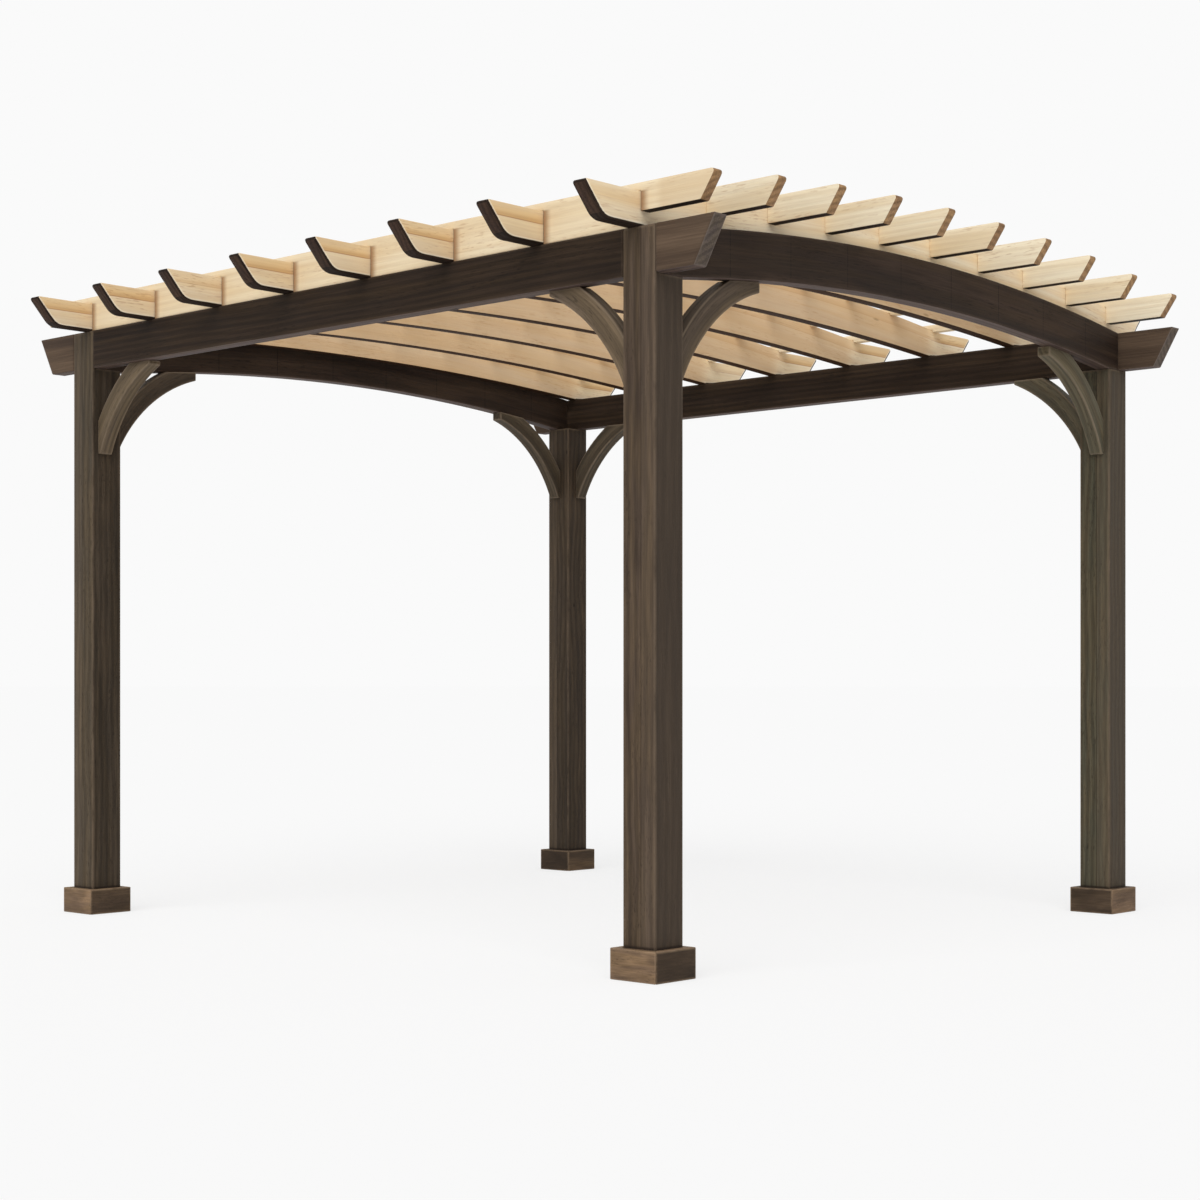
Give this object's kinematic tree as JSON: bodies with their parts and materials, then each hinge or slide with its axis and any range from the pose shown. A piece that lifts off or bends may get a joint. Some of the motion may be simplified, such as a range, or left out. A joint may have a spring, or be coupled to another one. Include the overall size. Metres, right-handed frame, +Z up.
{
  "type": "wooden pergola",
  "caption": "Free-standing arched pergola: square stained posts with boxed feet, straight and arched beams, curved knee braces, and a natural-wood roof of arched rafters and slats.",
  "frame": {"origin": "on the ground, in the middle between the posts", "axes": "+X along the arch, +Y along the straight beams from the front arch to the back arch, +Z up"},
  "size_m": [3.08, 3.25, 2.3091],
  "materials": {
    "stained_post": "taupe-brown stain, satin",
    "stained_trim": "brown stain, satin",
    "stained_beam": "dark brown stain, satin",
    "stained_arch": "espresso stain, satin",
    "stained_brace": "grey-brown stain, satin",
    "natural_rafter": "natural planed softwood, dark end cuts",
    "natural_slat": "natural planed softwood, brown end cuts"
  },
  "bodies": {
    "root": {"post_front_left": "stained_post", "post_front_right": "stained_post", "post_back_left": "stained_post", "post_back_right": "stained_post", "base_trim_front_left": "stained_trim", "base_trim_front_right": "stained_trim", "base_trim_back_left": "stained_trim", "base_trim_back_right": "stained_trim", "straight_beam_left": "stained_beam", "straight_beam_right": "stained_beam", "arched_beam_front": "stained_arch", "arched_beam_back": "stained_arch", "side_brace_front_left": "stained_brace", "side_brace_front_right": "stained_brace", "side_brace_back_left": "stained_brace", "side_brace_back_right": "stained_brace", "arch_brace_front_left": "stained_brace", "arch_brace_front_right": "stained_brace", "arch_brace_back_left": "stained_brace", "arch_brace_back_right": "stained_brace", "rafter_1": "natural_rafter", "rafter_2": "natural_rafter", "rafter_3": "natural_rafter", "rafter_4": "natural_rafter", "rafter_5": "natural_rafter", "rafter_6": "natural_rafter", "rafter_7": "natural_rafter", "rafter_8": "natural_rafter", "slat_1": "natural_slat", "slat_2": "natural_slat", "slat_3": "natural_slat", "slat_4": "natural_slat", "slat_5": "natural_slat", "slat_6": "natural_slat", "slat_7": "natural_slat", "slat_8": "natural_slat", "slat_9": "natural_slat", "slat_10": "natural_slat"}
  },
  "joints": []
}
